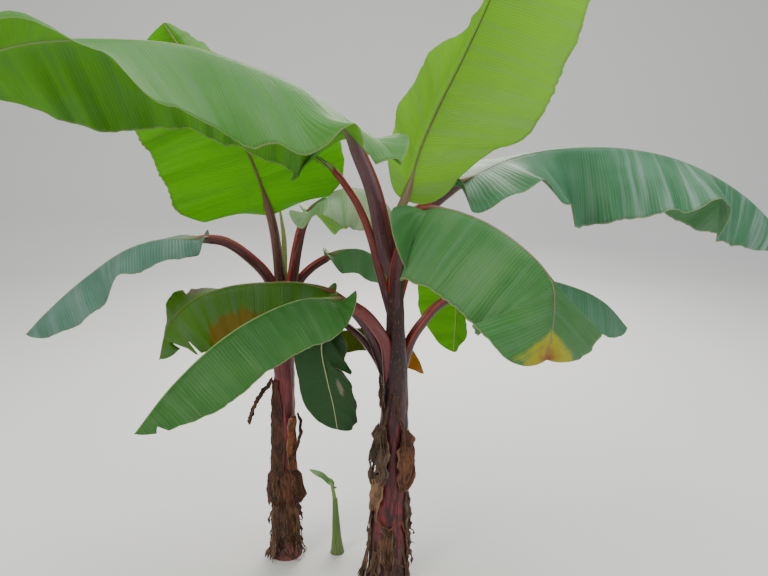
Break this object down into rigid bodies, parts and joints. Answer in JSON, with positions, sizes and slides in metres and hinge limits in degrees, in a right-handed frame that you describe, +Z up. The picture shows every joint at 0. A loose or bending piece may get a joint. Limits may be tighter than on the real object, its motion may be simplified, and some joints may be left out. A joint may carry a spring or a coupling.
{
  "type": "banana plant clump",
  "caption": "Young banana clump: maroon pseudostems with dry sheaths, long arching paddle leaves on channelled petioles, and a small pup.",
  "frame": {"origin": "on the ground, in the middle of the main pseudostem's flat foot", "axes": "+Z up; +X towards the right leaf; -Y towards the side from which both stems stand clear"},
  "size_m": [2.495, 1.0826, 2.2726],
  "materials": {
    "stem": "satin maroon sheath, mottled dark",
    "leaf": "satin green leaf with fine side veins",
    "young_leaf": "thin yellow-green leaf that light passes through",
    "ageing_leaf": "olive leaf turning yellow and orange",
    "pup": "fresh green shoot",
    "dry_sheath": "matt papery brown sheath"
  },
  "bodies": {
    "root": {"main_stem": "stem", "second_stem": "stem", "pup_stem": "pup", "main_leaf_long_left": "leaf", "main_leaf_upright": "young_leaf", "main_leaf_long_right": "leaf", "main_leaf_front": "leaf", "main_leaf_low_right": "leaf", "main_leaf_back": "young_leaf", "main_leaf_front_left": "leaf", "main_leaf_yellowing": "ageing_leaf", "main_leaf_hanging": "leaf", "main_leaf_narrow": "young_leaf", "second_leaf_upright": "young_leaf", "second_leaf_arching": "leaf", "second_leaf_low_right": "leaf", "second_leaf_left": "leaf", "second_leaf_low_back": "ageing_leaf", "pup_leaf": "pup", "second_spear": "young_leaf", "main_dry_sheath_left": "dry_sheath", "main_dry_sheath_right": "dry_sheath", "main_dry_strip_long": "dry_sheath", "main_dry_strip_right": "dry_sheath", "main_dry_flap": "dry_sheath", "second_petiole_stub": "dry_sheath", "second_dry_collar_left": "dry_sheath", "second_dry_collar_right": "dry_sheath", "second_dry_strip_left": "dry_sheath", "second_dry_strip_right": "dry_sheath", "second_dry_leaf": "dry_sheath"}
  },
  "joints": []
}
